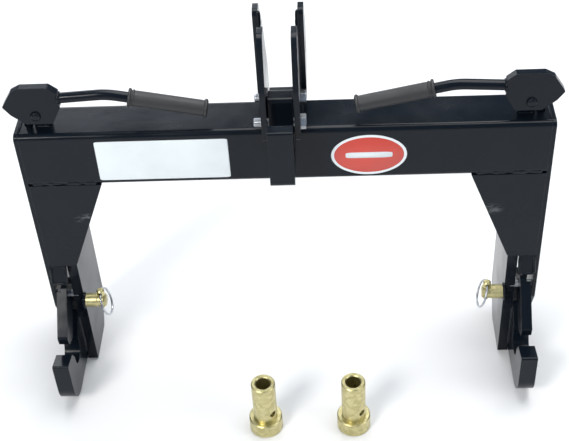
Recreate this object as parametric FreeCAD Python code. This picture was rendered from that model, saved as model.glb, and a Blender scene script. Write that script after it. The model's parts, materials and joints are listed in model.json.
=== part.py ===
import FreeCAD, Part
import math
import os

# Three point quick hitch, category 1. Millimetres. X to the right, Y from the implement
# side towards the tractor, Z up. Everything is drawn from the beam's front face, and save()
# moves it so that the origin is the bottom centre of the whole part's box.

# Beam
BEAM_H = 90.0
BEAM_D = 74.0
BEAM_WALL = 6.0
BEAM_CORNER = 8.0
BEAM_TOP = 472.0

# Lower ends: hook, inner and outer plates
HOOK_X = 358.4
HOOK_T = 25.0
OUTER_T = 6.0
EAR_T = 16.0
SEAT_Z = 72.0
SEAT_Y = -40.0
SEAT_R = 18.6
LIP_FRONT_Y = -102.0
LIP_TOP_Z = 104.0
HOOK_ROUND = 40.0
HOOK_BOTTOM = 10.0
EAR_HEEL = 38.0
EAR_REAR_Y = 122.0
GUSSET_T = 8.0
GUSSET_DROP = 160.0
GUSSET_FOOT_X = 328.0
GUSSET_HEAD_X = 265.0
GUARD_DROP = 30.0
GUARD_FORWARD = 10.0

# Latch, its pin and its link
LATCH_T = 16.0
LATCH_Y = 14.0
LATCH_Z = 150.0
LATCH_PIN_R = 6.0
LATCH_SWING = 55.0
ROOM_TURN = 35.0
LINK_Y = 30.0
LINK_R = 5.0
TAIL_PIN_R = 3.5
SPRING_WIRE = 2.6
SPRING_TURNS = 5

# Release lever
PIVOT_X = 341.0
PIVOT_Z = 499.0
PIVOT_R = 6.0
LEVER_FRONT_Y = 12.0
LEVER_T = 12.0
LEVER_SWING = 50.0
CRANK_R = 20.0
CRANK_PIN_R = 4.5
BRACKET_T = 9.0
PIVOT_HEAD_R = 7.5
PIVOT_HEAD = 4.0
BAR_R = 7.5
BAR_Z = 524.5
BAR_RISE = 3.5
BAR_BEND_X = 239.0
BAR_BEND_R = 100.0
BAR_DROP = 12.0
BAR_TIP_X = 106.0
GRIP_R = 11.0
GRIP_LENGTH = 106.0
GRIP_FLANGE = 2.5
GRIP_FLANGE_T = 4.0
GRIP_END = 4.0

# Lower link pin, linch pin and ring
LINK_PIN_Y = 10.0
LINK_PIN_Z = 137.0
LINK_PIN_R = 11.1
LINK_PIN_SEAT = 20.0
LINK_PIN_END_R = 10.5
LINK_PIN_LENGTH = 34.0
LINCH_R = 4.0
LINCH_HEAD_R = 6.0
LINCH_HEAD = 11.0
LINCH_FROM_END = 7.0
LINCH_BELOW = 5.0
RING_R = 21.5
RING_WIRE_R = 1.7
RING_LEAN = 17.0

# Top hook, its ears and the top link plates
TOP_HOOK_T = 34.0
TOP_SEAT_RISE = 381.0
TOP_SEAT_Y = -26.5
TOP_SEAT_R = 16.5
TOP_LIP_T = 20.0
TOP_LIP_UP = 61.0
TOP_EAR_IN = 18.5
TOP_EAR_T = 8.0
TOP_EAR_FRONT_Y = -25.0
TOP_EAR_TOP_Y = -6.0
TOP_EAR_Z = 626.0
TOP_BOLT_R = 6.0
TOP_BOLT_PLACES = [(0.5, 486.0), (48.0, 493.0)]
TOP_BOLT_BEYOND = 12.0
BOLT_AF = 19.0
BOLT_HEAD = 7.5
TOP_LINK_PLATE_T = 8.0
TOP_LAP = 13.0
TOP_LINK_Y = 118.0
TOP_LINK_RISE = 58.0
TOP_LINK_R = 9.8
TOP_LINK_BACK = 25.0
TOP_LINK_Z = 625.0

# Bushings that fit over the implement's pins
BUSH_OD = 36.5
BUSH_BORE = 22.5
BUSH_LENGTH = 100.0
BUSH_COLLAR_OD = 51.0
BUSH_COLLAR = 25.0
BUSH_HOLE_R = 5.5
BUSH_HOLE_Z = 42.0
BUSH_X = 68.0
BUSH_MID_X = 23.0
BUSH_Y = -137.0

# Fits
SNUG = 0.05
RUNNING = 0.08
FREE = 0.4
GAP = 0.5

BEAM_BOTTOM = BEAM_TOP - BEAM_H
HOOK_IN = HOOK_X - HOOK_T / 2
HOOK_OUT = HOOK_X + HOOK_T / 2
HALF_W = HOOK_OUT + OUTER_T
EAR_IN = HOOK_IN - EAR_T
GUSSET_BOTTOM = BEAM_BOTTOM - GUSSET_DROP
LEVER_BACK_Y = LEVER_FRONT_Y + LEVER_T
CRANK_HALF = LEVER_SWING / 2
TRAVEL = 2 * CRANK_R * math.sin(math.radians(CRANK_HALF))
TAIL_R = TRAVEL / (2 * math.sin(math.radians(LATCH_SWING / 2)))
TOP_SEAT_Z = SEAT_Z + TOP_SEAT_RISE
BAR_Y = LEVER_FRONT_Y + LEVER_T / 2
BAR_HEAD_X = PIVOT_X - 36
BACK_Y = TOP_LINK_Y + TOP_LINK_BACK
FRONT_Y = BUSH_Y - BUSH_COLLAR_OD / 2


def vec(x, y, z):
    return FreeCAD.Vector(x, y, z)


def rounded(points, place):
    """A face from (u, v, radius) corners; place turns (u, v) into a space vector."""
    corners = [place(u, v) for u, v, radius in points]
    count = len(points)
    starts = []
    ends = []
    mids = []
    for i in range(count):
        here = corners[i]
        back = (corners[i - 1] - here).normalize()
        ahead = (corners[(i + 1) % count] - here).normalize()
        radius = points[i][2]
        half = back.getAngle(ahead) / 2
        reach = radius / math.tan(half)
        inward = (back + ahead).normalize()
        starts.append(here + back * reach)
        ends.append(here + ahead * reach)
        mids.append(here + inward * (radius / math.sin(half) - radius))
    edges = []
    for i in range(count):
        if points[i][2] > 0:
            edges.append(Part.Arc(starts[i], mids[i], ends[i]).toShape())
        after = starts[(i + 1) % count]
        if ends[i].distanceToPoint(after) > 1e-6:
            edges.append(Part.LineSegment(ends[i], after).toShape())
    return Part.Face(Part.Wire(edges))


def side_plate(points, x, thickness):
    """A plate parallel to YZ from x to x + thickness."""
    face = rounded(points, lambda u, v: vec(x, u, v))
    return face.extrude(vec(thickness, 0, 0))


def front_plate(points, y, thickness):
    """A plate parallel to XZ from y to y + thickness."""
    face = rounded(points, lambda u, v: vec(u, y, v))
    return face.extrude(vec(0, thickness, 0))


def rod(radius, length, base, axis):
    return Part.makeCylinder(radius, length, base, axis)


X_AXIS = vec(1, 0, 0)
Y_AXIS = vec(0, 1, 0)
Z_AXIS = vec(0, 0, 1)


def turned(outline, base, axis):
    """A revolved solid: outline is (radius, height) points along axis from base."""
    points = [vec(r, 0, h) for r, h in outline]
    face = Part.Face(Part.makePolygon(points + points[:1]))
    solid = face.revolve(vec(0, 0, 0), Z_AXIS, 360)
    turn = FreeCAD.Rotation(Z_AXIS, axis)
    solid.Placement = FreeCAD.Placement(base, turn)
    return solid


def hexagon(across_flats, height, base, axis):
    """A hexagonal head or nut with its outer corners turned off."""
    corner = across_flats / math.sqrt(3)
    points = []
    for i in range(6):
        angle = math.radians(60 * i + 30)
        points.append(vec(corner * math.cos(angle), corner * math.sin(angle), 0))
    prism = Part.Face(Part.makePolygon(points + points[:1])).extrude(vec(0, 0, height))
    cap = corner - across_flats / 2
    cone = Part.makeCone(corner + cap, corner - cap, 2 * cap * 0.6, vec(0, 0, height - 1.2 * cap))
    barrel = rod(corner + 1, height - 1.2 * cap, vec(0, 0, 0), Z_AXIS)
    solid = prism.common(barrel.fuse(cone))
    solid.Placement = FreeCAD.Placement(base, FreeCAD.Rotation(Z_AXIS, axis))
    return solid


def mirrored(shape):
    return shape.mirror(vec(0, 0, 0), X_AXIS)


def save(name, shape):
    centred = shape.translated(vec(0, -(FRONT_Y + BACK_Y) / 2, 0))
    centred.exportStep("parts/" + name + ".step")


def save_pair(name, right):
    """Writes the right-hand piece and its mirror image on the left."""
    save(name + "_right", right)
    save(name + "_left", mirrored(right))


def beam():
    def tube(inset, length):
        section = [
            (inset, BEAM_BOTTOM + inset, BEAM_CORNER - inset),
            (BEAM_D - inset, BEAM_BOTTOM + inset, BEAM_CORNER - inset),
            (BEAM_D - inset, BEAM_TOP - inset, BEAM_CORNER - inset),
            (inset, BEAM_TOP - inset, BEAM_CORNER - inset),
        ]
        return side_plate(section, -length / 2, length)

    solid = tube(0, 2 * HOOK_OUT).cut(tube(BEAM_WALL, 2 * HOOK_OUT + 2))
    for side in (-1, 1):
        base = vec(side * HOOK_X, LINK_Y, BEAM_BOTTOM - 1)
        solid = solid.cut(rod(LINK_R + 1.5, BEAM_H + 2, base, Z_AXIS))
    return solid


def lower_end_outline(front, top, reach):
    """The outline that the inner and outer lower plates share, standing on the ground."""
    return [
        (front, 0, 3),
        (EAR_REAR_Y - EAR_HEEL, 0, 10),
        (EAR_REAR_Y, 50, 14),
        (EAR_REAR_Y, reach, 40),
        (BEAM_D, top, 0),
    ]


def outer_side_plate():
    outline = lower_end_outline(LATCH_Y, BEAM_TOP - 0.4, 250)
    outline[-1] = (BEAM_D, BEAM_BOTTOM, 0)
    outline += [
        (BEAM_D, BEAM_TOP, BEAM_CORNER),
        (0, BEAM_TOP, BEAM_CORNER),
        (0, SEAT_Z + 63, 10),
        (LATCH_Y, SEAT_Z + 33, 8),
    ]
    plate = side_plate(outline, HOOK_OUT, OUTER_T)
    return plate.cut(latch_bore())


def latch_pin_x():
    """Where the latch pin ends inside the inner plate, short of its face."""
    return EAR_IN + EAR_T / 2


def latch_bore():
    base = vec(latch_pin_x(), LATCH_Y, LATCH_Z)
    return rod(LATCH_PIN_R + SNUG, HALF_W - latch_pin_x() + 1, base, X_AXIS)


def inner_ear_plate():
    outline = lower_end_outline(GUSSET_T, BEAM_BOTTOM, 250)
    outline.append((GUSSET_T, BEAM_BOTTOM, 0))
    return side_plate(outline, EAR_IN, EAR_T).cut(latch_bore())


def front_gusset():
    outline = [
        (GUSSET_HEAD_X, BEAM_BOTTOM, 0),
        (HOOK_OUT, BEAM_BOTTOM, 0),
        (HOOK_OUT, GUSSET_BOTTOM, 0),
        (GUSSET_FOOT_X, GUSSET_BOTTOM, 5),
    ]
    return front_plate(outline, 0, GUSSET_T)


def latch_guard():
    """A short plate under the gusset that slopes forward over the top of the latch."""
    outline = [
        (0, GUSSET_BOTTOM, 0),
        (GUSSET_T, GUSSET_BOTTOM, 0),
        (GUSSET_T - GUARD_FORWARD, GUSSET_BOTTOM - GUARD_DROP, 0),
        (-GUARD_FORWARD, GUSSET_BOTTOM - GUARD_DROP, 0),
    ]
    return side_plate(outline, HOOK_IN, HOOK_T)


def lower_hook():
    """A thick plate: upright lip, round seat for the bushing, and a column behind."""
    lip_back = SEAT_Y - SEAT_R - 10
    column = SEAT_Y + SEAT_R
    floor_z = SEAT_Z - SEAT_R
    outline = [
        (LIP_FRONT_Y, HOOK_BOTTOM, HOOK_ROUND),
        (60, HOOK_BOTTOM, 12),
        (60, SEAT_Z + 40, 14),
        (column + 32, SEAT_Z + 40, 18),
        (column, SEAT_Z + 12, 8),
        (column, floor_z, SEAT_R - 0.4),
        (SEAT_Y - SEAT_R, floor_z, SEAT_R - 0.4),
        (SEAT_Y - SEAT_R, SEAT_Z + 8, 6),
        (lip_back, LIP_TOP_Z - 8, 3),
        (LIP_FRONT_Y, LIP_TOP_Z, 3),
    ]
    return side_plate(outline, HOOK_IN, HOOK_T)


def lower_link_pin():
    """A turned stub on the inner plate, reduced beyond its seat, with a cross hole."""
    chamfer = 2.0
    outline = [
        (0, 0),
        (LINK_PIN_R, 0),
        (LINK_PIN_R, LINK_PIN_SEAT),
        (LINK_PIN_END_R, LINK_PIN_SEAT + LINK_PIN_R - LINK_PIN_END_R),
        (LINK_PIN_END_R, LINK_PIN_LENGTH - chamfer),
        (LINK_PIN_END_R - chamfer, LINK_PIN_LENGTH),
        (0, LINK_PIN_LENGTH),
    ]
    stub = turned(outline, vec(EAR_IN, LINK_PIN_Y, LINK_PIN_Z), vec(-1, 0, 0))
    base = vec(linch_x(), LINK_PIN_Y, LINK_PIN_Z - LINK_PIN_R - 1)
    return stub.cut(rod(LINCH_R + RUNNING, 2 * LINK_PIN_R + 2, base, Z_AXIS))


def linch_x():
    return EAR_IN - LINK_PIN_LENGTH + LINCH_FROM_END


def ring_top():
    """The height of the hole in the linch pin's head."""
    return LINK_PIN_Z + LINK_PIN_R + GAP + LINCH_HEAD / 2


def linch_pin():
    """A headed pin, down through the stub, with a cross hole for its ring."""
    foot = LINK_PIN_Z - LINK_PIN_END_R - LINCH_BELOW
    seat = LINK_PIN_Z + LINK_PIN_R + GAP
    top = seat + LINCH_HEAD
    outline = [
        (0, foot),
        (LINCH_R - 1.5, foot),
        (LINCH_R, foot + 2.5),
        (LINCH_R, seat),
        (LINCH_HEAD_R, seat),
        (LINCH_HEAD_R, top - 2),
        (LINCH_HEAD_R - 2, top),
        (0, top),
    ]
    pin = turned(outline, vec(linch_x(), LINK_PIN_Y, 0), Z_AXIS)
    base = vec(linch_x(), LINK_PIN_Y - LINCH_HEAD_R - 1, ring_top())
    return pin.cut(rod(RING_WIRE_R + 1.2, 2 * LINCH_HEAD_R + 2, base, Y_AXIS))


def linch_ring():
    """A wire ring from the linch pin's head, leaning out past the end of the stub."""
    section = [vec(RING_R, 0, 0) + c for c in ring_section()]
    wire = Part.Face(Part.makePolygon(section + section[:1]))
    ring = wire.revolve(vec(0, 0, 0), Z_AXIS, 360)
    lean = math.radians(RING_LEAN)
    ring.rotate(vec(0, 0, 0), Y_AXIS, 90)
    ring.rotate(vec(0, 0, 0), Y_AXIS, RING_LEAN)
    drop = vec(-RING_R * math.sin(lean), 0, -RING_R * math.cos(lean))
    ring.translate(vec(linch_x(), LINK_PIN_Y, ring_top()) + drop)
    return ring


def ring_section():
    """Eight corners round the ring's wire."""
    sides = 8
    angles = [2 * math.pi * i / sides for i in range(sides)]
    return [vec(RING_WIRE_R * math.cos(a), 0, RING_WIRE_R * math.sin(a)) for a in angles]


def tail_pin_place(angle):
    turn = math.radians(angle)
    return LATCH_Y + TAIL_R * math.cos(turn), LATCH_Z + TAIL_R * math.sin(turn)


def latch():
    """A sloping finger over the seat, a boss on the pin, and a tail worked by the link."""
    low = SEAT_Z + SEAT_R + 6
    outline = [
        (LATCH_Y - 15, LATCH_Z + 32, 7),
        (SEAT_Y - 19, low + 24, 7),
        (SEAT_Y - 16, low + 9, 4),
        (SEAT_Y + 3, low, 6),
        (SEAT_Y + 24, low + 9, 10),
        (LATCH_Y - 4, LATCH_Z - 14, 8),
        (LATCH_Y + 12, LATCH_Z - 4, 6),
        (LATCH_Y + 4, LATCH_Z + 16, 8),
    ]
    inner = HOOK_X - LATCH_T / 2
    body = side_plate(outline, inner, LATCH_T)
    body = body.fuse(rod(15, LATCH_T, vec(inner, LATCH_Y, LATCH_Z), X_AXIS))
    tail_y, tail_z = tail_pin_place(LATCH_SWING / 2)
    tail_t = LATCH_T - link_foot_t() - GAP
    lobe = rod(TAIL_PIN_R + 4, tail_t, vec(inner, tail_y, tail_z), X_AXIS)
    body = body.fuse(lobe)
    room = Part.makeBox(LATCH_T, 60, 120, vec(inner + tail_t, LATCH_Y - 4, LATCH_Z - 60))
    room.rotate(vec(0, LATCH_Y, LATCH_Z), X_AXIS, ROOM_TURN)
    body = body.cut(room)
    body = body.fuse(rod(TAIL_PIN_R, LATCH_T, vec(inner, tail_y, tail_z), X_AXIS))
    bore = rod(LATCH_PIN_R + RUNNING, LATCH_T + 2, vec(inner - 1, LATCH_Y, LATCH_Z), X_AXIS)
    return body.cut(bore).removeSplitter()


def latch_pin():
    """A plain pin from the outer plate into the inner one, with chamfered ends."""
    length = HALF_W - latch_pin_x()
    outline = [
        (0, 0),
        (LATCH_PIN_R - 1, 0),
        (LATCH_PIN_R, 1),
        (LATCH_PIN_R, length - 1),
        (LATCH_PIN_R - 1, length),
        (0, length),
    ]
    return turned(outline, vec(latch_pin_x(), LATCH_Y, LATCH_Z), X_AXIS)


def link_foot_t():
    return 6.0


def crank_place(angle):
    turn = math.radians(angle)
    return PIVOT_X + CRANK_R * math.cos(turn), PIVOT_Z + CRANK_R * math.sin(turn)


def spring_ends():
    low = BEAM_BOTTOM + BEAM_WALL + SPRING_WIRE / 2 + 0.2
    return low, low + 60.0


def release_link():
    """A rod with a slotted head for the lever's crank pin and a flat slotted foot."""
    crank_x, crank_z = crank_place(CRANK_HALF)
    head_half = 9.5
    head_y = LEVER_BACK_Y + GAP + 0.5
    head = [
        (HOOK_X - 7, crank_z - head_half, 2),
        (HOOK_X + 12, crank_z - head_half, 3),
        (HOOK_X + 12, crank_z + head_half, 3),
        (HOOK_X - 7, crank_z + head_half, 2),
    ]
    solid = front_plate(head, head_y, 11)
    slot_half = CRANK_PIN_R + FREE
    slot_end = PIVOT_X + CRANK_R
    slot = [
        (crank_x - slot_half - 0.6, crank_z - slot_half, slot_half - 0.05),
        (slot_end + slot_half + 0.6, crank_z - slot_half, slot_half - 0.05),
        (slot_end + slot_half + 0.6, crank_z + slot_half, slot_half - 0.05),
        (crank_x - slot_half - 0.6, crank_z + slot_half, slot_half - 0.05),
    ]
    tail_y, tail_z = tail_pin_place(LATCH_SWING / 2)
    inner = HOOK_X + LATCH_T / 2 - link_foot_t()
    foot_top = tail_z + 62
    rod_foot = foot_top - 14
    solid = solid.fuse(rod(LINK_R, crank_z - head_half + 1 - rod_foot, vec(HOOK_X, LINK_Y, rod_foot), Z_AXIS))
    collar_z = spring_ends()[1] + SPRING_WIRE / 2 + 0.2
    solid = solid.fuse(rod(LINK_R + 6, 5, vec(HOOK_X, LINK_Y, collar_z), Z_AXIS))
    foot = [
        (LINK_Y - 8.5, tail_z - 9, 6),
        (LINK_Y + 9, tail_z - 9, 6),
        (LINK_Y + 9, foot_top, 3),
        (LINK_Y - 8.5, foot_top, 3),
    ]
    solid = solid.fuse(side_plate(foot, inner, link_foot_t()))
    solid = solid.cut(front_plate(slot, head_y - 1, 13))
    slack = TAIL_PIN_R + FREE
    low_y = tail_y - slack - 0.6
    high_y = LATCH_Y + TAIL_R + slack + 0.6
    foot_slot = [
        (low_y, tail_z - slack, slack - 0.05),
        (high_y, tail_z - slack, slack - 0.05),
        (high_y, tail_z + slack, slack - 0.05),
        (low_y, tail_z + slack, slack - 0.05),
    ]
    solid = solid.cut(side_plate(foot_slot, inner - 1, link_foot_t() + 2))
    return solid.removeSplitter()


def return_spring():
    """A coil spring inside the beam, round the link and under its collar."""
    low, high = spring_ends()
    mean = LINK_R + SPRING_WIRE / 2 + 1.6
    pitch = (high - low) / SPRING_TURNS
    helix = Part.makeHelix(pitch, high - low, mean)
    helix.translate(vec(HOOK_X, LINK_Y, low))
    half = SPRING_WIRE / 2
    start = vec(HOOK_X + mean, LINK_Y, low)
    corners = [vec(-half, 0, -half), vec(half, 0, -half), vec(half, 0, half), vec(-half, 0, half)]
    section = Part.makePolygon([start + c for c in corners + corners[:1]])
    return Part.Wire(helix.Edges).makePipeShell([section], True, True)


def lever_plate():
    """The six-sided head of the release lever, with its crank pin behind."""
    p = PIVOT_Z
    outline = [
        (PIVOT_X - 22, p - 14, 3),
        (PIVOT_X + 15, p - 14, 3),
        (PIVOT_X + 34, p + 2, 3),
        (PIVOT_X + 44, p + 16, 3),
        (PIVOT_X + 29, p + 39, 3),
        (PIVOT_X + 16, p + 46, 3),
        (PIVOT_X - 24, p + 46, 3),
        (PIVOT_X - 36, p + 36, 2),
        (PIVOT_X - 36, p + 12, 2),
    ]
    plate = front_plate(outline, LEVER_FRONT_Y, LEVER_T)
    crank_x, crank_z = crank_place(CRANK_HALF)
    pin = rod(CRANK_PIN_R, LEVER_T + 12, vec(crank_x, LEVER_FRONT_Y, crank_z), Y_AXIS)
    bore = rod(PIVOT_R + RUNNING, LEVER_T + 2, vec(PIVOT_X, LEVER_FRONT_Y - 1, PIVOT_Z), Y_AXIS)
    return plate.fuse(pin).cut(bore).removeSplitter()


def bar_corner():
    """Where the bar's rising part and its falling part would meet."""
    rise = math.tan(math.radians(BAR_RISE))
    return vec(BAR_BEND_X, BAR_Y, BAR_Z + (BAR_HEAD_X - BAR_BEND_X) * rise)


def bar_drop():
    """The direction of the straight end that carries the grip."""
    drop = math.radians(BAR_DROP)
    return vec(-math.cos(drop), 0, -math.sin(drop))


def bar_tip():
    return bar_corner() + bar_drop() * ((BAR_BEND_X - BAR_TIP_X) / -bar_drop().x)


def handle_bar():
    """A round bar that rises a little from the head, bends once and falls straight."""
    start = vec(BAR_HEAD_X, BAR_Y, BAR_Z)
    corner = bar_corner()
    back = (start - corner).normalize()
    ahead = bar_drop()
    half = back.getAngle(ahead) / 2
    reach = BAR_BEND_R / math.tan(half)
    inward = (back + ahead).normalize()
    first = corner + back * reach
    last = corner + ahead * reach
    middle = corner + inward * (BAR_BEND_R / math.sin(half) - BAR_BEND_R)
    edges = [
        Part.LineSegment(start, first).toShape(),
        Part.Arc(first, middle, last).toShape(),
        Part.LineSegment(last, bar_tip()).toShape(),
    ]
    circle = Part.Circle(start, back * -1, BAR_R)
    bar = Part.Wire(edges).makePipeShell([Part.Wire(circle.toShape())], True, True)
    beyond = Part.makeBox(20, 60, 60, vec(BAR_HEAD_X, BAR_Y - 30, BAR_Z - 30))
    stem = rod(BAR_R, 2, start - back, back)
    return bar.fuse(stem).cut(beyond).removeSplitter()


def grip():
    """A straight rubber sleeve with a ring at each end and a closed tip."""
    wide = GRIP_R + GRIP_FLANGE
    length = GRIP_LENGTH + GRIP_END
    outline = [
        (BAR_R + SNUG, 0),
        (wide, 0),
        (wide, GRIP_FLANGE_T),
        (GRIP_R, GRIP_FLANGE_T),
        (GRIP_R, length - GRIP_FLANGE_T),
        (wide, length - GRIP_FLANGE_T),
        (wide, length - 1),
        (wide - 1, length),
        (0, length),
        (0, GRIP_LENGTH),
        (BAR_R + SNUG, GRIP_LENGTH),
    ]
    return turned(outline, bar_tip() - bar_drop() * GRIP_LENGTH, bar_drop())


def lever_bracket():
    """The lug on the beam that carries the lever's pivot."""
    half = 12.0
    outline = [
        (PIVOT_X - half - 4, BEAM_TOP, 0),
        (PIVOT_X + half - 4, BEAM_TOP, 0),
        (PIVOT_X + half - 4, PIVOT_Z + half, 7),
        (PIVOT_X - half - 4, PIVOT_Z + half, 7),
    ]
    plate = front_plate(outline, LEVER_BACK_Y + GAP, BRACKET_T)
    return plate.cut(rod(PIVOT_R + SNUG, 60, vec(PIVOT_X, 0, PIVOT_Z), Y_AXIS))


def pivot_bolt():
    """A bolt with a low domed head in front and room for its nut behind."""
    end = LEVER_T + 2 * GAP + BRACKET_T + 15
    outline = [
        (0, -PIVOT_HEAD),
        (PIVOT_HEAD_R / 2, -PIVOT_HEAD),
        (PIVOT_HEAD_R * 0.85, -PIVOT_HEAD * 0.7),
        (PIVOT_HEAD_R, 0),
        (PIVOT_R, 0),
        (PIVOT_R, end),
        (0, end),
    ]
    return turned(outline, vec(PIVOT_X, LEVER_FRONT_Y - GAP, PIVOT_Z), Y_AXIS)


def nut(radius, thickness, base, axis):
    """A hexagonal nut with a snug plain bore."""
    body = hexagon(BOLT_AF, thickness, base, axis)
    return body.cut(rod(radius + SNUG, thickness + 2, base - axis, axis))


def pivot_nut():
    base = vec(PIVOT_X, LEVER_BACK_Y + GAP + BRACKET_T, PIVOT_Z)
    return nut(PIVOT_R, 10, base, Y_AXIS)


def top_bolt_holes():
    radius = TOP_BOLT_R + SNUG
    holes = [rod(radius, 200, vec(-100, y, z), X_AXIS) for y, z in TOP_BOLT_PLACES]
    return holes[0].fuse(holes[1])


def top_hook():
    """A thick hook bolted over the beam: lip, round throat, and a stepped back."""
    throat_front = TOP_SEAT_Y - TOP_SEAT_R
    throat_back = TOP_SEAT_Y + TOP_SEAT_R
    front = throat_front - TOP_LIP_T
    floor_z = TOP_SEAT_Z - TOP_SEAT_R
    lip_top = TOP_SEAT_Z + TOP_LIP_UP
    outline = [
        (front, floor_z - 16, 9),
        (0, floor_z - 16, 4),
        (0, BEAM_TOP, 0),
        (62, BEAM_TOP, 0),
        (62, BEAM_TOP + 32, 8),
        (20, BEAM_TOP + 36, 10),
        (18, BEAM_TOP + 58, 8),
        (throat_back, BEAM_TOP + 58, 6),
        (throat_back, floor_z, TOP_SEAT_R - 0.4),
        (throat_front, floor_z, TOP_SEAT_R - 0.4),
        (throat_front, lip_top, 3),
        (front, lip_top, 3),
    ]
    plate = side_plate(outline, -TOP_HOOK_T / 2, TOP_HOOK_T)
    return plate.cut(top_bolt_holes())


def top_ear():
    """A tall plate beside the top hook, standing on the beam and reaching past its front."""
    outline = [
        (TOP_EAR_FRONT_Y, BEAM_TOP, 3),
        (BEAM_D, BEAM_TOP, 0),
        (BEAM_D, BEAM_TOP + 60, 40),
        (TOP_EAR_TOP_Y + 34, TOP_EAR_Z, 18),
        (TOP_EAR_TOP_Y, TOP_EAR_Z, 16),
        (TOP_EAR_FRONT_Y, BEAM_TOP + 75, 40),
    ]
    plate = side_plate(outline, TOP_EAR_IN, TOP_EAR_T)
    return plate.cut(top_bolt_holes())


def top_link_plate():
    """The tractor side of the mast: a plate lapped on the ear, bored for the top link pin."""
    inner = TOP_EAR_IN + TOP_EAR_T
    outline = [
        (BEAM_D - TOP_LAP, BEAM_TOP + 8, 0),
        (BEAM_D, BEAM_TOP + 8, 0),
        (BACK_Y, BEAM_TOP + 22, 16),
        (BACK_Y, BEAM_TOP + TOP_LINK_RISE + 24, 24),
        (BEAM_D + 10, TOP_LINK_Z, 8),
        (BEAM_D - TOP_LAP, TOP_LINK_Z, 8),
    ]
    plate = side_plate(outline, inner, TOP_LINK_PLATE_T)
    base = vec(inner - 1, TOP_LINK_Y, BEAM_TOP + TOP_LINK_RISE)
    return plate.cut(rod(TOP_LINK_R, TOP_LINK_PLATE_T + 2, base, X_AXIS))


def top_hook_bolts():
    """Two bolts with heads on the right, screwed through the left ear and a little beyond."""
    outer = TOP_EAR_IN + TOP_EAR_T
    chamfer = 1.2
    length = 2 * outer + TOP_BOLT_BEYOND
    solids = []
    for y, z in TOP_BOLT_PLACES:
        outline = [
            (0, 0),
            (TOP_BOLT_R, 0),
            (TOP_BOLT_R, length - chamfer),
            (TOP_BOLT_R - chamfer, length),
            (0, length),
        ]
        shank = turned(outline, vec(outer, y, z), vec(-1, 0, 0))
        head = hexagon(BOLT_AF, BOLT_HEAD, vec(outer, y, z), X_AXIS)
        solids.append(shank.fuse(head))
    return Part.makeCompound(solids)


def bushing(x):
    """A turned bushing on its collar, open right through, with a cross hole."""
    bore = BUSH_BORE / 2
    outline = [
        (bore, 0),
        (BUSH_COLLAR_OD / 2 - 1, 0),
        (BUSH_COLLAR_OD / 2, 1),
        (BUSH_COLLAR_OD / 2, BUSH_COLLAR - 1.5),
        (BUSH_COLLAR_OD / 2 - 1.5, BUSH_COLLAR),
        (BUSH_OD / 2, BUSH_COLLAR),
        (BUSH_OD / 2, BUSH_LENGTH - 1.5),
        (BUSH_OD / 2 - 1.5, BUSH_LENGTH),
        (bore + 1.5, BUSH_LENGTH),
        (bore, BUSH_LENGTH - 1.5),
    ]
    body = turned(outline, vec(x, BUSH_Y, 0), Z_AXIS)
    across = vec(1, -1, 0).normalize()
    base = vec(x, BUSH_Y, BUSH_HOLE_Z) - across * BUSH_OD
    return body.cut(rod(BUSH_HOLE_R, 2 * BUSH_OD, base, across))


os.makedirs("parts", exist_ok=True)

save("beam", beam())
save_pair("outer_side_plate", outer_side_plate())
save_pair("inner_ear_plate", inner_ear_plate())
save_pair("front_gusset", front_gusset())
save_pair("latch_guard", latch_guard())
save_pair("lower_hook", lower_hook())
save_pair("lower_link_pin", lower_link_pin())
save_pair("linch_pin", linch_pin())
save_pair("linch_ring", linch_ring())
save_pair("latch", latch())
save_pair("latch_pin", latch_pin())
save_pair("release_link", release_link())
save_pair("return_spring", return_spring())
save_pair("lever_plate", lever_plate())
save_pair("handle_bar", handle_bar())
save_pair("grip", grip())
save_pair("lever_bracket", lever_bracket())
save_pair("pivot_bolt", pivot_bolt())
save_pair("pivot_nut", pivot_nut())
save("top_hook", top_hook())
save_pair("top_ear", top_ear())
save_pair("top_link_plate", top_link_plate())
save("top_hook_bolts", top_hook_bolts())
save("bushing_right", bushing(BUSH_MID_X + BUSH_X))
save("bushing_left", bushing(BUSH_MID_X - BUSH_X))
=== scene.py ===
import json
import math

import bpy
import numpy as np
from mathutils import Matrix, Vector


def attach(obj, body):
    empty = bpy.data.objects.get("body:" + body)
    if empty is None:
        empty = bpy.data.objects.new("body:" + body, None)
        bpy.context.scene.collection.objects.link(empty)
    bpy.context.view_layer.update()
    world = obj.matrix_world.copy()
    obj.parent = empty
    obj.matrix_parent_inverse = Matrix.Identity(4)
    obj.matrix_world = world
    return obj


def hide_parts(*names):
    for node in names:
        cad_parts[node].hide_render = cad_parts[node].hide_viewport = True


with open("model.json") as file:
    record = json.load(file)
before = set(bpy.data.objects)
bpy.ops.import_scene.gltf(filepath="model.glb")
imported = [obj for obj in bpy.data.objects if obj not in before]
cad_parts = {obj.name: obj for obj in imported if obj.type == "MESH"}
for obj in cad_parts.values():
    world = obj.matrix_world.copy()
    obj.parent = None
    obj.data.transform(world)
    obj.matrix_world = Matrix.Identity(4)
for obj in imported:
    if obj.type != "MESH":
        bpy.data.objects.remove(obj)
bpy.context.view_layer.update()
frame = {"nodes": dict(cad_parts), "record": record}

# Metres. X to the right, Y from the implement side towards the tractor, Z up.
# Places are given from the beam's front face, which is FACE_Y behind the frame's origin.
FACE_Y = 0.00975
MM = 0.001

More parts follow.
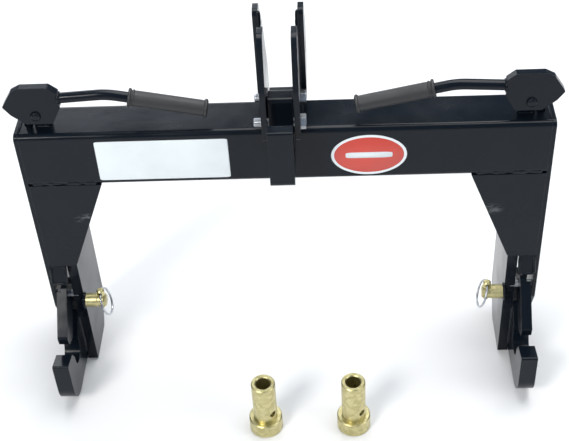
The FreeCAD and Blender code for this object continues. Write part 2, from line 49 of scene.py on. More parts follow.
# Sizes shared with the steel parts, in millimetres
BEAM_TOP = 472.0
BEAM_BOTTOM = 382.0
BEAM_DEPTH = 74.0
EAR_IN = 329.9
EAR_OUT = 345.9
HOOK_OUT = 370.9
PLATE_Y = 8.0
OUTER_PLATE_Y = 14.0
GUSSET_BOTTOM = 222.0
GUSSET_HEAD_X = 265.0
LINK_PIN = (10.0, 137.0, 11.1)
MAST_OUT = 26.5
HANDLE_Y = 18.0
HANDLE_HEAD = (305.0, 524.5)
HANDLE_BEND_X = 239.0
HANDLE_RISE = 3.5
HANDLE_DROP = 12.0
HANDLE_TIP_X = 106.0
GRIP_LENGTH = 110.0
GRIP_SOLID_END = 4.0
GRIP_R = 11.0
GRIP_MOUTH_R = 7.56
HANDLE_R = 7.5
PIVOT_X = 341.0
PIVOT_Z = 499.0
TOP_BOLT_PLACES = ((0.5, 486.0), (48.0, 493.0))

# Welds and threads, in millimetres
BEAD_PITCH = 2.6
THREAD_R = 6.0
THREAD_CLEAR = 0.05
THREAD_DEPTH = 0.42
TOP_THREAD_GAP = 0.5
TOP_THREAD_LENGTH = 10.2
TOP_THREAD_PITCH = 1.75
PIVOT_THREAD_Y = 43.4
PIVOT_THREAD_LENGTH = 5.0
PIVOT_THREAD_PITCH = 1.7

# Colours that lie on top of a finish
DUST_ON_ENAMEL = (0.20, 0.19, 0.17)
DUST_ON_ZINC = (0.24, 0.22, 0.18)
DUST_ON_PLASTIC = (0.22, 0.21, 0.19)
SCRAPED_ENAMEL = (0.13, 0.14, 0.15)

# Camera
CAMERA_LENS = 74.23
CAMERA_SENSOR = 36.0
CAMERA_X = 0.073641
CAMERA_Y = -1.288764
CAMERA_Z = 1.456789

SIDES = {"left": -1.0, "right": 1.0}


# Meshes

def solid_grid(points, close_ends=True):
    """Faces for a grid of points that goes round in its second direction.

    Row i, column j joins row i + 1 and column j + 1, with the last column joined to the
    first; each open end is closed by a fan to the mean of its row."""
    rows, cols = points.shape[:2]
    index = np.arange(rows * cols).reshape(rows, cols)
    ahead = np.roll(index, -1, axis=1)
    quads = np.stack([index[:-1], ahead[:-1], ahead[1:], index[1:]], axis=-1).reshape(-1, 4)
    verts = points.reshape(-1, 3)
    faces = quads.tolist()
    if close_ends:
        first = len(verts)
        verts = np.vstack([verts, points[0].mean(0), points[-1].mean(0)])
        start_fan = np.stack([ahead[0], index[0], np.full(cols, first)], axis=-1)
        end_fan = np.stack([index[-1], ahead[-1], np.full(cols, first + 1)], axis=-1)
        faces = faces + start_fan.tolist() + end_fan.tolist()
    return verts, faces


def add_piece(name, verts, faces, body, material, smooth=True):
    """One object from points in millimetres, measured from the beam's front face."""
    placed = np.asarray(verts, dtype=float) * MM + np.array([0.0, FACE_Y, 0.0])
    mesh = bpy.data.meshes.new(name)
    mesh.from_pydata(placed.tolist(), [], faces)
    mesh.update()
    volume = signed_volume(placed, faces)
    if volume < 0:
        mesh.flip_normals()
    mesh.polygons.foreach_set("use_smooth", np.full(len(mesh.polygons), smooth))
    piece = bpy.data.objects.new(name, mesh)
    bpy.context.scene.collection.objects.link(piece)
    mesh.materials.append(material)
    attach(piece, body)
    return piece


def signed_volume(points, faces):
    """Sum over each face's fan of triangles of a . (b x c) / 6."""
    total = 0.0
    for count in (3, 4):
        chosen = np.array([face for face in faces if len(face) == count])
        if not len(chosen):
            continue
        corner = points[chosen]
        for k in range(1, count - 1):
            across = np.cross(corner[:, k], corner[:, k + 1])
            total += np.einsum("ij,ij->i", corner[:, 0], across).sum() / 6
    return total


def unit(vectors):
    vectors = np.asarray(vectors, dtype=float)
    return vectors / np.linalg.norm(vectors, axis=-1, keepdims=True)


def line(start, end, step=0.7):
    """Evenly spaced points on the straight line from start to end."""
    start = np.array(start, dtype=float)
    end = np.array(end, dtype=float)
    count = max(int(np.linalg.norm(end - start) / step), 12)
    return start + (end - start) * np.linspace(0, 1, count)[:, None]


def bead_size(distance, length, size, seed, ring=False):
    """A weld bead's half width along its length.

    Overlapping scallops: each repeats over one pitch as the square root of a falling
    parabola, on top of three slow sines, with rounded ends unless it is a ring."""
    along = (distance / BEAD_PITCH + seed * 0.37) % 1.0
    scallop = np.sqrt(np.clip(1.0 - (along - 0.35) ** 2 / 0.46, 0.0, 1.0))
    slow = np.sin(distance * 0.21 + seed) + 0.6 * np.sin(distance * 0.083 + 2.1 * seed)
    slow = slow + 0.5 * np.sin(distance * 0.47 + 0.7 * seed)
    width = size * (0.74 + 0.22 * scallop + 0.09 * slow)
    if ring:
        return width
    run = np.minimum(distance, length - distance) / (1.3 * size)
    return width * np.sqrt(1.0 - (1.0 - np.clip(run, 0.02, 1.0)) ** 2)


def bead(name, path, out_a, out_b, size, body, seed, ring=False, around=14):
    """A weld bead: a ribbed tube sunk in the corner between two faces.

    Point (s, t) = path(s) + inset + r(s) * (a cos t + b sin t), where a and b are the two
    faces' outward directions, r is bead_size and inset pulls the tube into the corner."""
    path = np.asarray(path, dtype=float)
    steps = np.linalg.norm(np.diff(path, axis=0), axis=1)
    distance = np.concatenate([[0.0], np.cumsum(steps)])
    width = bead_size(distance, distance[-1], size, seed, ring)
    a = np.broadcast_to(unit(out_a), path.shape)
    b = np.broadcast_to(unit(out_b), path.shape)
    angle = np.linspace(0, 2 * math.pi, around, endpoint=False)
    centre = path - 0.12 * size * (a + b)
    circle = a[:, None] * np.cos(angle)[:, None] + b[:, None] * np.sin(angle)[:, None]
    points = centre[:, None] + width[:, None, None] * circle
    if ring:
        rows, cols = points.shape[:2]
        index = np.arange(rows * cols).reshape(rows, cols)
        ahead = np.roll(index, -1, axis=1)
        after = np.roll(index, -1, axis=0)
        both = np.roll(ahead, -1, axis=0)
        faces = np.stack([index, ahead, both, after], axis=-1).reshape(-1, 4).tolist()
        verts = points.reshape(-1, 3)
    else:
        verts, faces = solid_grid(points)
    return add_piece(name, verts, faces, body, WELD)


def ring_path(centre, axis, radius, count=72):
    """Points round a circle, and the direction from its centre to each."""
    axis = unit(axis)
    start = unit(np.cross(axis, [0.0, 0.3, 1.0]))
    side = np.cross(axis, start)
    angle = np.linspace(0, 2 * math.pi, count, endpoint=False)[:, None]
    outward = np.cos(angle) * start + np.sin(angle) * side
    return np.array(centre, dtype=float) + radius * outward, outward


def about_axis(base, axis, along, radius):
    """Point (i, j) = base + axis * along(i) + radius(i, j) * (u cos t + v sin t)."""
    axis = unit(axis)
    u = unit(np.cross(axis, [0.05, 1.0, 0.1]))
    v = np.cross(axis, u)
    angle = np.linspace(0, 2 * math.pi, radius.shape[1], endpoint=False)
    circle = u * np.cos(angle)[:, None] + v * np.sin(angle)[:, None]
    return np.array(base, dtype=float) + axis * along[:, None, None] + radius[..., None] * circle


# Node helpers

def math_node(tree, operation, a, b=None, clamp=False):
    node = tree.nodes.new("ShaderNodeMath")
    node.operation = operation
    node.use_clamp = clamp
    for socket, value in zip(node.inputs, (a, b)):
        if value is None:
            continue
        if isinstance(value, (int, float)):
            socket.default_value = value
        else:
            tree.links.new(value, socket)
    return node.outputs[0]


def noise(tree, coordinates, scale, detail=3.0, roughness=0.5, distortion=0.0):
    node = tree.nodes.new("ShaderNodeTexNoise")
    tree.links.new(coordinates, node.inputs["Vector"])
    if isinstance(scale, (int, float)):
        node.inputs["Scale"].default_value = scale
    else:
        tree.links.new(scale, node.inputs["Scale"])
    node.inputs["Detail"].default_value = detail
    node.inputs["Roughness"].default_value = roughness
    node.inputs["Distortion"].default_value = distortion
    return node.outputs["Fac"]


def ramp(tree, value, low, high, to_low=0.0, to_high=1.0):
    node = tree.nodes.new("ShaderNodeMapRange")
    node.interpolation_type = "SMOOTHSTEP"
    tree.links.new(value, node.inputs["Value"])
    limits = (("From Min", low), ("From Max", high), ("To Min", to_low), ("To Max", to_high))
    for key, number in limits:
        if isinstance(number, (int, float)):
            node.inputs[key].default_value = number
        else:
            tree.links.new(number, node.inputs[key])
    return node.outputs["Result"]


def mix(tree, factor, a, b):
    node = tree.nodes.new("ShaderNodeMix")
    node.data_type = "RGBA"
    for socket, value in ((node.inputs[0], factor), (node.inputs[6], a), (node.inputs[7], b)):
        if isinstance(value, (int, float)):
            socket.default_value = value
        elif isinstance(value, tuple):
            socket.default_value = (*value, 1.0)
        else:
            tree.links.new(value, socket)
    return node.outputs[2]


def group(name, inputs, outputs):
    tree = bpy.data.node_groups.new(name, "ShaderNodeTree")
    for label, kind, value in inputs:
        socket = tree.interface.new_socket(label, in_out="INPUT", socket_type=kind)
        socket.default_value = value
    for label, kind in outputs:
        tree.interface.new_socket(label, in_out="OUTPUT", socket_type=kind)
    start = tree.nodes.new("NodeGroupInput")
    end = tree.nodes.new("NodeGroupOutput")
    return tree, start, end


def build_finish_group():
    """Rounded edges, fine skin, an edge mask for rubbed wear and painted edge highlights, and settled
    dust for any hard finish.
    """
    inputs = [
        ("Edge Radius", "NodeSocketFloat", 0.0012),
        ("Skin Scale", "NodeSocketFloat", 700.0),
        ("Skin Depth", "NodeSocketFloat", 0.05),
        ("Wave Depth", "NodeSocketFloat", 0.1),
        ("Dust", "NodeSocketFloat", 0.3),
    ]
    outputs = [
        ("Edge", "NodeSocketFloat"),
        ("Dust", "NodeSocketFloat"),
        ("Cloud", "NodeSocketFloat"),
        ("Normal", "NodeSocketVector"),
    ]
    tree, start, end = group("worked_surface", inputs, outputs)
    place = tree.nodes.new("ShaderNodeTexCoord").outputs["Object"]
    bevel = tree.nodes.new("ShaderNodeBevel")
    bevel.samples = 6
    tree.links.new(start.outputs["Edge Radius"], bevel.inputs["Radius"])
    geometry = tree.nodes.new("ShaderNodeNewGeometry")
    dot = tree.nodes.new("ShaderNodeVectorMath")
    dot.operation = "DOT_PRODUCT"
    tree.links.new(bevel.outputs[0], dot.inputs[0])
    tree.links.new(geometry.outputs["Normal"], dot.inputs[1])
    # Edge mask: where colour goes lighter, partly rubbed wear, partly a painted edge highlight.
    corner = ramp(tree, math_node(tree, "SUBTRACT", 1.0, dot.outputs["Value"]), 0.01, 0.16)
    broken = ramp(tree, noise(tree, place, 90.0, 4.0, 0.6), 0.42, 0.62)
    tree.links.new(math_node(tree, "MULTIPLY", corner, broken), end.inputs["Edge"])
    cloud = noise(tree, place, 14.0, 3.0, 0.55)
    tree.links.new(cloud, end.inputs["Cloud"])
    normal = tree.nodes.new("ShaderNodeSeparateXYZ")
    tree.links.new(geometry.outputs["Normal"], normal.inputs[0])
    upward = ramp(tree, normal.outputs["Z"], 0.55, 0.98)
    speck = ramp(tree, noise(tree, place, 260.0, 2.0, 0.7), 0.56, 0.72)
    film = ramp(tree, noise(tree, place, 22.0, 4.0, 0.6), 0.45, 0.75, 0.0, 0.35)
    settled = math_node(tree, "MULTIPLY", math_node(tree, "ADD", speck, film, True), upward)
    tree.links.new(math_node(tree, "MULTIPLY", settled, start.outputs["Dust"]), end.inputs["Dust"])
    wave = tree.nodes.new("ShaderNodeBump")
    wave.inputs["Distance"].default_value = 0.002
    tree.links.new(start.outputs["Wave Depth"], wave.inputs["Strength"])
    tree.links.new(noise(tree, place, 38.0, 2.0), wave.inputs["Height"])
    tree.links.new(bevel.outputs[0], wave.inputs["Normal"])
    skin = tree.nodes.new("ShaderNodeBump")
    skin.inputs["Distance"].default_value = 0.0004
    tree.links.new(start.outputs["Skin Depth"], skin.inputs["Strength"])
    tree.links.new(noise(tree, place, start.outputs["Skin Scale"], 2.0, 0.45), skin.inputs["Height"])
    tree.links.new(wave.outputs[0], skin.inputs["Normal"])
    tree.links.new(skin.outputs[0], end.inputs["Normal"])
    return tree


FINISH = build_finish_group()


def start_material(name, constants, finish):
    """A material with a Principled shader, its constants, and the finish group's values."""
    material = bpy.data.materials.new(name)
    material.use_nodes = True
    tree = material.node_tree
    shader = tree.nodes["Principled BSDF"]
    for key, value in constants.items():
        shader.inputs[key].default_value = value
    node = tree.nodes.new("ShaderNodeGroup")
    node.node_tree = FINISH
    for key, value in finish.items():
        node.inputs[key].default_value = value
    tree.links.new(node.outputs["Normal"], shader.inputs["Normal"])
    return material, tree, shader, node


def enamel(name, tint, rubbed_and_highlight=(0.05, 0.055, 0.062), low=0.14, high=0.26, scuffs=None,
           **finish):
    """Black gloss enamel: the tint is blue-black as a painted sky reflection, greyer at edges as rubbed
    wear and painted edge highlight, with dust on top.
    """
    values = {
        "Edge Radius": 0.0012, "Skin Scale": 620.0, "Skin Depth": 0.10,
        "Wave Depth": 0.10, "Dust": 0.10,
    }
    values.update(finish)
    material, tree, shader, marks = start_material(name, {"Specular IOR Level": 0.2}, values)
    darker = tuple(0.7 * c for c in tint)
    lighter = tuple(1.3 * c for c in tint)
    cloudy = mix(tree, marks.outputs["Cloud"], darker, lighter)
    # Grey at edges: partly rubbed wear, partly a painted edge highlight.
    colour = mix(tree, math_node(tree, "MULTIPLY", marks.outputs["Edge"], 0.6), cloudy, rubbed_and_highlight)
    dusty = math_node(tree, "MULTIPLY", marks.outputs["Dust"], 0.25)
    colour = mix(tree, dusty, colour, DUST_ON_ENAMEL)
    rough = ramp(tree, marks.outputs["Cloud"], 0.3, 0.75, low, high)
    rough = math_node(tree, "ADD", rough, math_node(tree, "MULTIPLY", marks.outputs["Dust"], 0.35), True)
    if scuffs:
        scrape = scuff_mask(tree, scuffs)
        colour = mix(tree, math_node(tree, "MULTIPLY", scrape, 0.75), colour, SCRAPED_ENAMEL)
        rough = math_node(tree, "ADD", rough, math_node(tree, "MULTIPLY", scrape, 0.3), True)
    tree.links.new(colour, shader.inputs["Base Color"])
    tree.links.new(rough, shader.inputs["Roughness"])
    return material


def scuff_mask(tree, scuffs):
    """Rubbed patches: noise stretched across, kept within an ellipse round each place."""
    place = tree.nodes.new("ShaderNodeTexCoord").outputs["Object"]
    total = None
    for centre, size in scuffs:
        mapping = tree.nodes.new("ShaderNodeMapping")
        mapping.inputs["Scale"].default_value = tuple(1.0 / s for s in size)
        mapping.inputs["Location"].default_value = tuple(-c / s for c, s in zip(centre, size))
        tree.links.new(place, mapping.inputs["Vector"])
        length = tree.nodes.new("ShaderNodeVectorMath")
        length.operation = "LENGTH"
        tree.links.new(mapping.outputs[0], length.inputs[0])
        inside = ramp(tree, length.outputs["Value"], 1.0, 0.25)
        total = inside if total is None else math_node(tree, "MAXIMUM", total, inside)
    stretch = tree.nodes.new("ShaderNodeMapping")
    stretch.inputs["Scale"].default_value = (60.0, 60.0, 260.0)
    tree.links.new(place, stretch.inputs["Vector"])
    scratches = ramp(tree, noise(tree, stretch.outputs[0], 1.0, 4.0, 0.7), 0.44, 0.60)
    return math_node(tree, "MULTIPLY", total, scratches)


def plated(name, tint, shade, low, high, **finish):
    """Zinc plating: two tones in soft clouds, brighter edges as rubbed wear and painted edge highlight,
    fine turning marks.
    """
    values = {
        "Edge Radius": 0.0005, "Skin Scale": 1500.0, "Skin Depth": 0.10,
        "Wave Depth": 0.03, "Dust": 0.25,
    }
    values.update(finish)
    material, tree, shader, marks = start_material(name, {"Metallic": 1.0}, values)
    place = tree.nodes.new("ShaderNodeTexCoord").outputs["Object"]
    patches = ramp(tree, noise(tree, place, 120.0, 3.0, 0.6, 0.6), 0.36, 0.66)
    colour = mix(tree, patches, shade, tint)
    # Brighter at edges: partly rubbed wear, partly a painted edge highlight.
    bright_rubbed_and_highlight = tuple(min(1.0, 1.35 * c) for c in tint)
    colour = mix(tree, math_node(tree, "MULTIPLY", marks.outputs["Edge"], 0.6), colour, bright_rubbed_and_highlight)
    dusty = math_node(tree, "MULTIPLY", marks.outputs["Dust"], 0.4)
    colour = mix(tree, dusty, colour, DUST_ON_ZINC)
    tree.links.new(colour, shader.inputs["Base Color"])
    tree.links.new(ramp(tree, marks.outputs["Cloud"], 0.3, 0.7, low, high), shader.inputs["Roughness"])
    return material


def soft_plastic(name, tint, low, high, constants, **finish):
    """A plain moulded or printed skin with faint clouds and dust."""
    values = {
        "Edge Radius": 0.0004, "Skin Scale": 1800.0, "Skin Depth": 0.25,
        "Wave Depth": 0.02, "Dust": 0.5,
    }
    values.update(finish)
    material, tree, shader, marks = start_material(name, constants, values)
    darker = tuple(0.85 * c for c in tint)
    lighter = tuple(min(1.0, 1.12 * c) for c in tint)
    colour = mix(tree, marks.outputs["Cloud"], darker, lighter)
    dusty = math_node(tree, "MULTIPLY", marks.outputs["Dust"], 0.35)
    colour = mix(tree, dusty, colour, DUST_ON_PLASTIC)
    tree.links.new(colour, shader.inputs["Base Color"])
    tree.links.new(ramp(tree, marks.outputs["Cloud"], 0.3, 0.7, low, high), shader.inputs["Roughness"])
    return material


# Black enamel tinted blue all over: the blue is a painted reflection of the sky.
PAINTED_SKY_BLACK = (0.0042, 0.0070, 0.0115)
ENAMEL = enamel("gloss_black_enamel", PAINTED_SKY_BLACK)
SCUFFS = [((side * 0.297, FACE_Y, 0.318), (0.022, 0.02, 0.012)) for side in SIDES.values()]
SCUFFED = enamel("scuffed_black_enamel", PAINTED_SKY_BLACK, scuffs=SCUFFS)
WELD_SKIN = {"Skin Scale": 900.0, "Skin Depth": 0.35, "Wave Depth": 0.35}
VINYL_SKIN = {"Skin Depth": 0.05, "Dust": 0.1}
WELD = enamel("painted_weld", PAINTED_SKY_BLACK, low=0.10, high=0.22, **WELD_SKIN)
YELLOW_ZINC = plated("yellow_zinc", (0.66, 0.60, 0.33), (0.50, 0.45, 0.22), 0.34, 0.50)
BRIGHT_ZINC = plated("bright_zinc", (0.62, 0.64, 0.67), (0.44, 0.46, 0.49), 0.22, 0.38)
SPRING_STEEL = plated("oiled_spring_steel", (0.30, 0.30, 0.30), (0.17, 0.17, 0.17), 0.25, 0.45)
RUBBER = soft_plastic("grip_rubber", (0.022, 0.023, 0.025), 0.42, 0.60,
                      {"Specular IOR Level": 0.5})
WHITE_VINYL = soft_plastic("white_vinyl", (0.80, 0.86, 0.88), 0.30, 0.42, {}, **VINYL_SKIN)
RED_VINYL = soft_plastic("red_vinyl", (0.62, 0.07, 0.05), 0.28, 0.40, {}, **VINYL_SKIN)

BY_SLOT = {
    "black_paint": ENAMEL,
    "yellow_zinc": YELLOW_ZINC,
    "bright_zinc": BRIGHT_ZINC,
    "spring_steel": SPRING_STEEL,
    "black_rubber": RUBBER,
}
for part in frame["record"]["subparts"]:
    node = frame["nodes"][part["node"]]
    finish = SCUFFED if part["node"].startswith("front_gusset") else BY_SLOT[part["material_slot"]]
    node.data.materials.clear()
    node.data.materials.append(finish)


# Welds

def corner_welds():
    """Straight fillets on both sides of the hitch: name, ends, two outward directions, size."""
    left, up, down, fore, back = (-1, 0, 0), (0, 0, 1), (0, 0, -1), (0, -1, 0), (0, 1, 0)
    right = (1, 0, 0)
    top_y = BEAM_DEPTH - 4
    return [
        ("beam_gusset_weld", (GUSSET_HEAD_X + 4, 5.0, 385.0), (HOOK_OUT - 3, 5.0, 385.0),
         fore, down, 6.4),
        ("beam_ear_weld", (EAR_IN, 12.0, BEAM_BOTTOM), (EAR_IN, top_y - 6, BEAM_BOTTOM),
         left, down, 4.2),
        ("beam_end_weld", (HOOK_OUT, 8.0, BEAM_TOP - 0.6), (HOOK_OUT, top_y - 4, BEAM_TOP - 0.6),
         up, right, 2.4),
        ("gusset_back_weld", (GUSSET_HEAD_X + 6, PLATE_Y, BEAM_BOTTOM),
         (EAR_IN - 4, PLATE_Y, BEAM_BOTTOM),
         back, down, 3.6),
        ("gusset_ear_weld", (EAR_IN, PLATE_Y, GUSSET_BOTTOM + 4), (EAR_IN, PLATE_Y, BEAM_BOTTOM - 5),
         left, back, 3.6),
        ("hook_inner_weld", (EAR_OUT, PLATE_Y, 18.0), (EAR_OUT, PLATE_Y, 104.0), left, fore, 3.6),
        ("hook_outer_weld", (HOOK_OUT, OUTER_PLATE_Y, 18.0), (HOOK_OUT, OUTER_PLATE_Y, 96.0),
         right, fore, 3.4),
        ("guard_inner_weld", (EAR_OUT + 1, -0.5, GUSSET_BOTTOM - 2), (EAR_OUT + 1, -9.0, 194.0),
         left, fore, 2.8),
        ("guard_outer_weld", (HOOK_OUT - 2, -0.5, GUSSET_BOTTOM - 2), (HOOK_OUT - 2, -9.0, 194.0),
         right, fore, 2.8),
        ("guard_foot_weld", (EAR_OUT + 2, -9.0, 193.0), (HOOK_OUT - 2, -9.0, 193.0),
         fore, down, 2.6),
        ("mast_foot_weld", (MAST_OUT, 3.0, BEAM_TOP), (MAST_OUT, BEAM_DEPTH - 3, BEAM_TOP),
         right, up, 4.4),
        ("mast_lap_weld", (MAST_OUT, 61.0, 484.0), (MAST_OUT, 61.0, 626.0), right, fore, 3.2),
        ("bracket_front_weld", (327.0, 24.6, BEAM_TOP), (347.0, 24.6, BEAM_TOP), fore, up, 2.6),
        ("bracket_back_weld", (327.0, 33.4, BEAM_TOP), (347.0, 33.4, BEAM_TOP), back, up, 3.4),
    ]


def mirror_x(point, side):
    return (side * point[0], point[1], point[2])


for side_name, side in SIDES.items():
    for number, (name, start, end, a, b, size) in enumerate(corner_welds()):
        seed = 1.7 * number + (0.9 if side > 0 else 0.0)
        path = line(mirror_x(start, side), mirror_x(end, side))
        bead(name + "_" + side_name, path, mirror_x(a, side), mirror_x(b, side), size, "frame", seed)
    pin_y, pin_z, pin_r = LINK_PIN
    path, outward = ring_path((side * EAR_IN, pin_y, pin_z), (side, 0, 0), pin_r)
    bead("link_pin_weld_" + side_name, path, outward, (-side, 0, 0), 3.2, "frame", 4.0, ring=True)
    head = (side * HANDLE_HEAD[0], HANDLE_Y, HANDLE_HEAD[1])
    path, outward = ring_path(head, (side, 0, 0), HANDLE_R)
    bead("handle_weld_" + side_name, path, outward, (-side, 0, 0), 2.6, "lever_" + side_name,
         2.0, ring=True)


# Grips

def grip_radius(along, angle):
    """Radius over length s and angle t: a sleeve with rings at both ends and small studs.

    r = GRIP_R + raised ring at each end + a second low ring + 0.22 mm waves, sin(ks) sin(nt)."""
    length = GRIP_LENGTH
    shape = np.full_like(along, GRIP_R)
    rings = ((2.2, 2.4, 2.3), (7.4, 1.3, 1.2), (length - 2.6, 2.6, 2.3))
    for centre, half, height in rings:
        shape = shape + height * np.sqrt(np.clip(1 - ((along - centre) / half) ** 2, 0, 1))
    inside = np.clip((along - 10) / 3, 0, 1) * np.clip((length - 7 - along) / 3, 0, 1)
    studs = 0.22 * np.sin(along * 2.1)[:, None] * np.sin(angle * 22)[None, :]
    return shape[:, None] + inside[:, None] * studs


def add_grip(side_name, side):
    """The rubber sleeve: grip_radius about the handle's straight end, closed at its tip."""
    rise = math.tan(math.radians(HANDLE_RISE))
    drop = math.radians(HANDLE_DROP)
    bend_z = HANDLE_HEAD[1] + (HANDLE_HEAD[0] - HANDLE_BEND_X) * rise
    corner = np.array([HANDLE_BEND_X, HANDLE_Y, bend_z])
    forward = np.array([-math.cos(drop), 0.0, -math.sin(drop)])
    tip = corner + forward * ((HANDLE_BEND_X - HANDLE_TIP_X) / math.cos(drop))
    start = tip - forward * (GRIP_LENGTH - GRIP_SOLID_END)
    along = np.linspace(0, GRIP_LENGTH, 260)
    angle = np.linspace(0, 2 * math.pi, 132, endpoint=False)
    radius = grip_radius(along, angle)
    mouth = np.full((1, len(angle)), GRIP_MOUTH_R)
    dome_along = GRIP_LENGTH + np.array([0.35, 0.6, 0.7])
    dome = np.array([10.4, 8.0, 4.0])[:, None] * np.ones(len(angle))
    along = np.concatenate([[3.0, 0.0], along, dome_along])
    radius = np.vstack([mouth, mouth, radius, dome])
    start = start * np.array([side, 1, 1])
    forward = forward * np.array([side, 1, 1])
    verts, faces = solid_grid(about_axis(start, forward, along, radius))
    piece = add_piece("grip_sleeve_" + side_name, verts, faces, "lever_" + side_name,
                      RUBBER)
    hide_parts("grip_" + side_name)
    return piece


for side_name, side in SIDES.items():
    add_grip(side_name, side)


# Threads

def thread(name, base, axis, length, radius, pitch, body, material):
    """A screw thread: r = radius + depth * triangle(z / pitch - t / turn), closed ends."""
    around = 48
    along = np.linspace(0, length, int(length / pitch * 12))
    angle = np.linspace(0, 1, around, endpoint=False)
    phase = (along[:, None] / pitch - angle[None, :]) % 1.0
    tooth = 1.0 - np.abs(2.0 * phase - 1.0)
    fade = np.clip(np.minimum(along, length - along) / pitch, 0, 1)[:, None]
    radii = radius + THREAD_CLEAR + THREAD_DEPTH * tooth * fade
    verts, faces = solid_grid(about_axis(base, axis, along, radii))
    return add_piece(name, verts, faces, body, material)


for number, (y, z) in enumerate(TOP_BOLT_PLACES):
    base = (-MAST_OUT - TOP_THREAD_GAP, y, z)
    thread("top_bolt_thread_%d" % (number + 1), base, (-1, 0, 0), TOP_THREAD_LENGTH, THREAD_R,
           TOP_THREAD_PITCH, "frame", BRIGHT_ZINC)
for side_name, side in SIDES.items():
    base = (side * PIVOT_X, PIVOT_THREAD_Y, PIVOT_Z)
    thread("pivot_thread_" + side_name, base, (0, 1, 0), PIVOT_THREAD_LENGTH, THREAD_R,
           PIVOT_THREAD_PITCH, "frame", ENAMEL)


# Labels

def rounded_patch(half_x, half_z, power, thickness, count=160):
    """A thin plate: |x/a|^p + |z/b|^p = 1 for its outline, from its centre out, then back.

    Rings of points at growing fractions of the outline, with the last ring at the back."""
    angle = np.linspace(0, 2 * math.pi, count, endpoint=False)
    cos, sin = np.cos(angle), np.sin(angle)
    outline_x = half_x * np.sign(cos) * np.abs(cos) ** (2 / power)
    outline_z = half_z * np.sign(sin) * np.abs(sin) ** (2 / power)
    share = np.array([0.35, 0.7, 0.96, 0.992, 1.0, 1.0])
    depth = np.array([0.0, 0.0, 0.0, 0.15, 0.5, 1.0]) * thickness - thickness
    x = share[:, None] * outline_x
    z = share[:, None] * outline_z
    y = np.broadcast_to(depth[:, None], x.shape)
    return np.stack([x, y, z], axis=-1)


def label(name, centre_x, centre_z, half_x, half_z, power, thickness, lift, slot, material):
    """A printed label on the beam's face: rounded_patch moved to its place."""
    points = rounded_patch(half_x, half_z, power, thickness)
    points = points + np.array([centre_x, -lift, centre_z])
    verts, faces = solid_grid(points)
    return add_piece(name, verts, faces, "frame", material)


label("wide_label", centre_x=-171.0, centre_z=425.5, half_x=94.0, half_z=34.5, power=40.0,
      thickness=0.25, lift=0.0, slot="label_white", material=WHITE_VINYL)
label("oval_label", centre_x=119.7, centre_z=424.6, half_x=53.2, half_z=35.0, power=2.0,
      thickness=0.25, lift=0.0, slot="label_white", material=WHITE_VINYL)
label("oval_field", centre_x=119.7, centre_z=424.6, half_x=49.0, half_z=31.0, power=2.0,
      thickness=0.15, lift=0.25, slot="label_red", material=RED_VINYL)
label("oval_band", centre_x=119.7, centre_z=424.6, half_x=33.0, half_z=5.0, power=6.0,
      thickness=0.12, lift=0.4, slot="label_white", material=WHITE_VINYL)


# Floor, light and camera

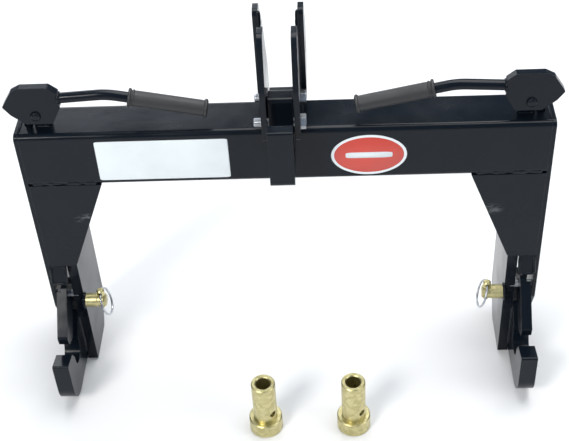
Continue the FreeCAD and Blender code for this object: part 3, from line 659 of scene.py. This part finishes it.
def add_floor():
    """A disc that turns up into a low wall: r grows, then height = R (1 - cos t)."""
    flat, bend, wall = 7.0, 2.0, 2.2
    flat_rings = 8
    climb = np.linspace(0.1, math.pi / 2, 14)
    radius = np.concatenate([np.linspace(0.5, flat, flat_rings), flat + bend * np.sin(climb)])
    height = np.concatenate([np.zeros(flat_rings), bend * (1 - np.cos(climb))])
    radius = np.append(radius, radius[-1])
    height = np.append(height, height[-1] + wall)
    angle = np.linspace(0, 2 * math.pi, 96, endpoint=False)
    points = np.stack([radius[:, None] * np.cos(angle), radius[:, None] * np.sin(angle),
                       np.broadcast_to(height[:, None], (len(radius), len(angle)))], axis=-1)
    rows, cols = points.shape[:2]
    index = np.arange(rows * cols).reshape(rows, cols)
    ahead = np.roll(index, -1, axis=1)
    faces = np.stack([index[:-1], index[1:], ahead[1:], ahead[:-1]], axis=-1).reshape(-1, 4).tolist()
    verts = np.vstack([points.reshape(-1, 3), [0.0, 0.0, 0.0]])
    centre = len(verts) - 1
    faces += np.stack([index[0], ahead[0], np.full(cols, centre)], axis=-1).tolist()
    verts[:, 2] -= 0.0002
    mesh = bpy.data.meshes.new("studio_floor")
    mesh.from_pydata(verts.tolist(), [], faces)
    mesh.update()
    mesh.polygons.foreach_set("use_smooth", np.full(len(mesh.polygons), True))
    floor = bpy.data.objects.new("studio_floor", mesh)
    bpy.context.scene.collection.objects.link(floor)
    material = bpy.data.materials.new("pale_floor")
    material.use_nodes = True
    shader = material.node_tree.nodes["Principled BSDF"]
    shader.inputs["Base Color"].default_value = (0.86, 0.86, 0.86, 1.0)
    shader.inputs["Roughness"].default_value = 0.9
    shader.inputs["Specular IOR Level"].default_value = 0.1
    mesh.materials.append(material)
    return floor


def area_light(name, place, target, size, power, colour):
    data = bpy.data.lights.new(name, "AREA")
    data.shape = "SQUARE"
    data.size = size
    data.energy = power
    data.color = colour
    lamp = bpy.data.objects.new(name, data)
    bpy.context.scene.collection.objects.link(lamp)
    direction = Vector(target) - Vector(place)
    lamp.rotation_euler = direction.to_track_quat("-Z", "Y").to_euler()
    lamp.location = place
    return lamp


add_floor()
area_light("overhead_light", (0.6, 0.9, 3.6), (0.0, 0.0, 0.3), 3.0, 135.0, (1.0, 0.99, 0.97))
area_light("key_light", (-1.9, -2.6, 2.9), (0.0, 0.0, 0.3), 1.2, 95.0, (1.0, 0.97, 0.93))
area_light("fill_light", (2.8, -1.2, 1.8), (0.0, 0.0, 0.3), 1.6, 24.0, (1.0, 0.99, 0.97))
area_light("back_light", (-1.0, 3.2, 1.8), (0.0, 0.0, 0.35), 1.6, 24.0, (0.95, 0.97, 1.0))

world = bpy.data.worlds.new("sky")
bpy.context.scene.world = world
world.use_nodes = True
background = world.node_tree.nodes["Background"]
background.inputs["Color"].default_value = (0.62, 0.78, 1.0, 1.0)
background.inputs["Strength"].default_value = 0.32

camera_data = bpy.data.cameras.new("camera")
camera_data.sensor_width = CAMERA_SENSOR
camera_data.lens = CAMERA_LENS
camera = bpy.data.objects.new("camera", camera_data)
bpy.context.scene.collection.objects.link(camera)
VIEW_RIGHT = Vector((0.99868, 0.01755, -0.04833))
VIEW_DOWN = Vector((-0.02431, -0.66704, -0.74463))
VIEW_AHEAD = Vector((-0.04531, 0.74482, -0.66573))
turn = Matrix((VIEW_RIGHT, -VIEW_DOWN, -VIEW_AHEAD)).transposed().to_4x4()
camera_place = Matrix.Translation((CAMERA_X, CAMERA_Y + FACE_Y, CAMERA_Z))
camera.matrix_world = camera_place @ turn
bpy.context.scene.camera = camera
bpy.context.scene.view_settings.view_transform = "Standard"
